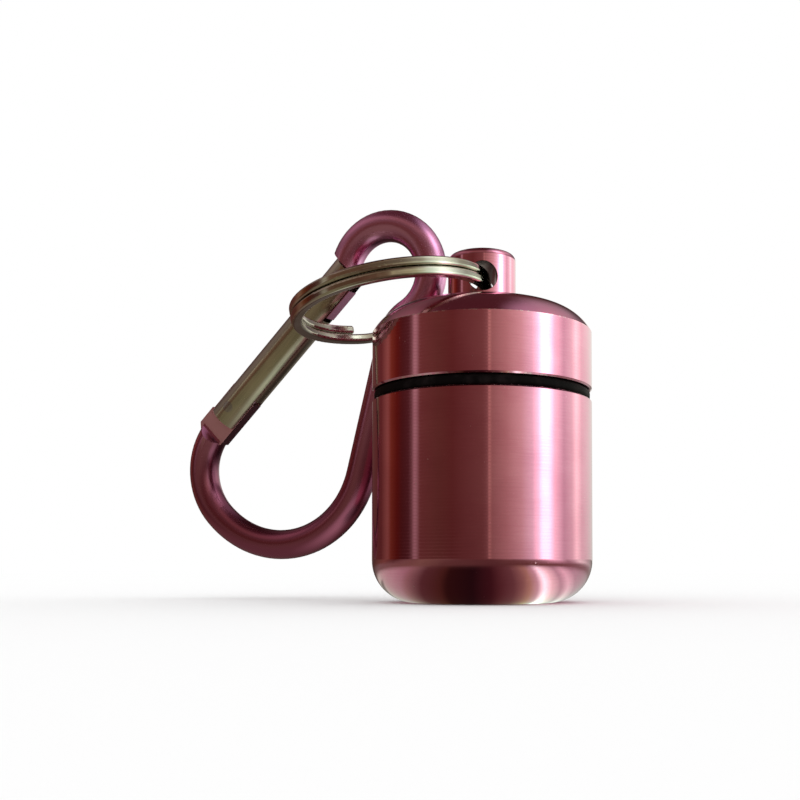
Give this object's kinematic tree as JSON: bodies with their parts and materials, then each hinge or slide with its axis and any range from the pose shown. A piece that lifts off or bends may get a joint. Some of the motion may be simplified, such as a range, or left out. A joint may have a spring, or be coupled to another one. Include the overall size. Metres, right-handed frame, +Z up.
{
  "type": "pill fob keychain",
  "caption": "Turned screw-cap pill bottle with a rubber seal, hung by a split ring through its knob from a snap carabiner with a sprung gate.",
  "frame": {"origin": "centre of the bottle's flat base", "axes": "+Z up along the bottle's axis to the knob, -Y towards the picture's camera, -X to the side where the ring and the carabiner hang"},
  "size_m": [0.0578, 0.0389, 0.0535],
  "materials": {
    "pink_anodised": "glossy pink anodising over a turned surface",
    "black_rubber": "smooth black rubber",
    "plated_steel": "bright nickel plating",
    "mauve_anodised": "satin mauve-pink anodising",
    "bare_aluminium": "bare polished aluminium",
    "steel_pins": "bright steel",
    "spring_steel": "drawn spring wire"
  },
  "bodies": {
    "bottle": {"pill_bottle": "pink_anodised"},
    "seal": {"seal_ring": "black_rubber"},
    "cap": {"screw_cap": "pink_anodised"},
    "ring": {"split_ring": "plated_steel"},
    "clip": {"carabiner_frame": "mauve_anodised"},
    "gate": {"gate_bar": "bare_aluminium", "hinge_rivet": "steel_pins", "latch_pin": "steel_pins", "gate_spring": "spring_steel"},
    "plunger": {"gate_plunger": "steel_pins"}
  },
  "joints": [
    {"name": "cap_turn", "type": "hinge", "parent": "bottle", "child": "seal", "pos_m": [0, 0, 0.02685], "axis": [0, 0, 1], "range_deg": [0, 1170]},
    {"name": "cap_lift", "type": "slide", "parent": "seal", "child": "cap", "axis": [0, 0, 1], "range_m": [0, 0.0066]},
    {"name": "ring_swing", "type": "hinge", "parent": "cap", "child": "ring", "pos_m": [0, 0, 0.04079], "axis": [-0.0262, 0.9997, 0], "range_deg": [0, 140]},
    {"name": "carabiner_swing", "type": "hinge", "parent": "ring", "child": "clip", "pos_m": [-0.01193, 0.01289, 0.03783], "axis": [-0.9846, -0.0298, -0.1725], "range_deg": [-5, 18]},
    {"name": "gate_open", "type": "hinge", "parent": "clip", "child": "gate", "pos_m": [-0.03616, 0.01962, 0.02809], "axis": [0.3404, 0.9351, 0.0983], "range_deg": [0, 8], "stiffness_Nm_per_rad": 0.02, "springref_deg": -57.3},
    {"name": "plunger_slide", "type": "slide", "parent": "gate", "child": "plunger", "axis": [0.6699, -0.3145, 0.6726], "range_m": [0, 0.0003], "deforming": ["gate_spring"]}
  ],
  "couplings": [
    {"joint": "cap_lift", "follows": "cap_turn", "m_per_rad": 0.00031831},
    {"joint": "plunger_slide", "follows": "gate_open", "m_per_rad": 0.00194}
  ]
}
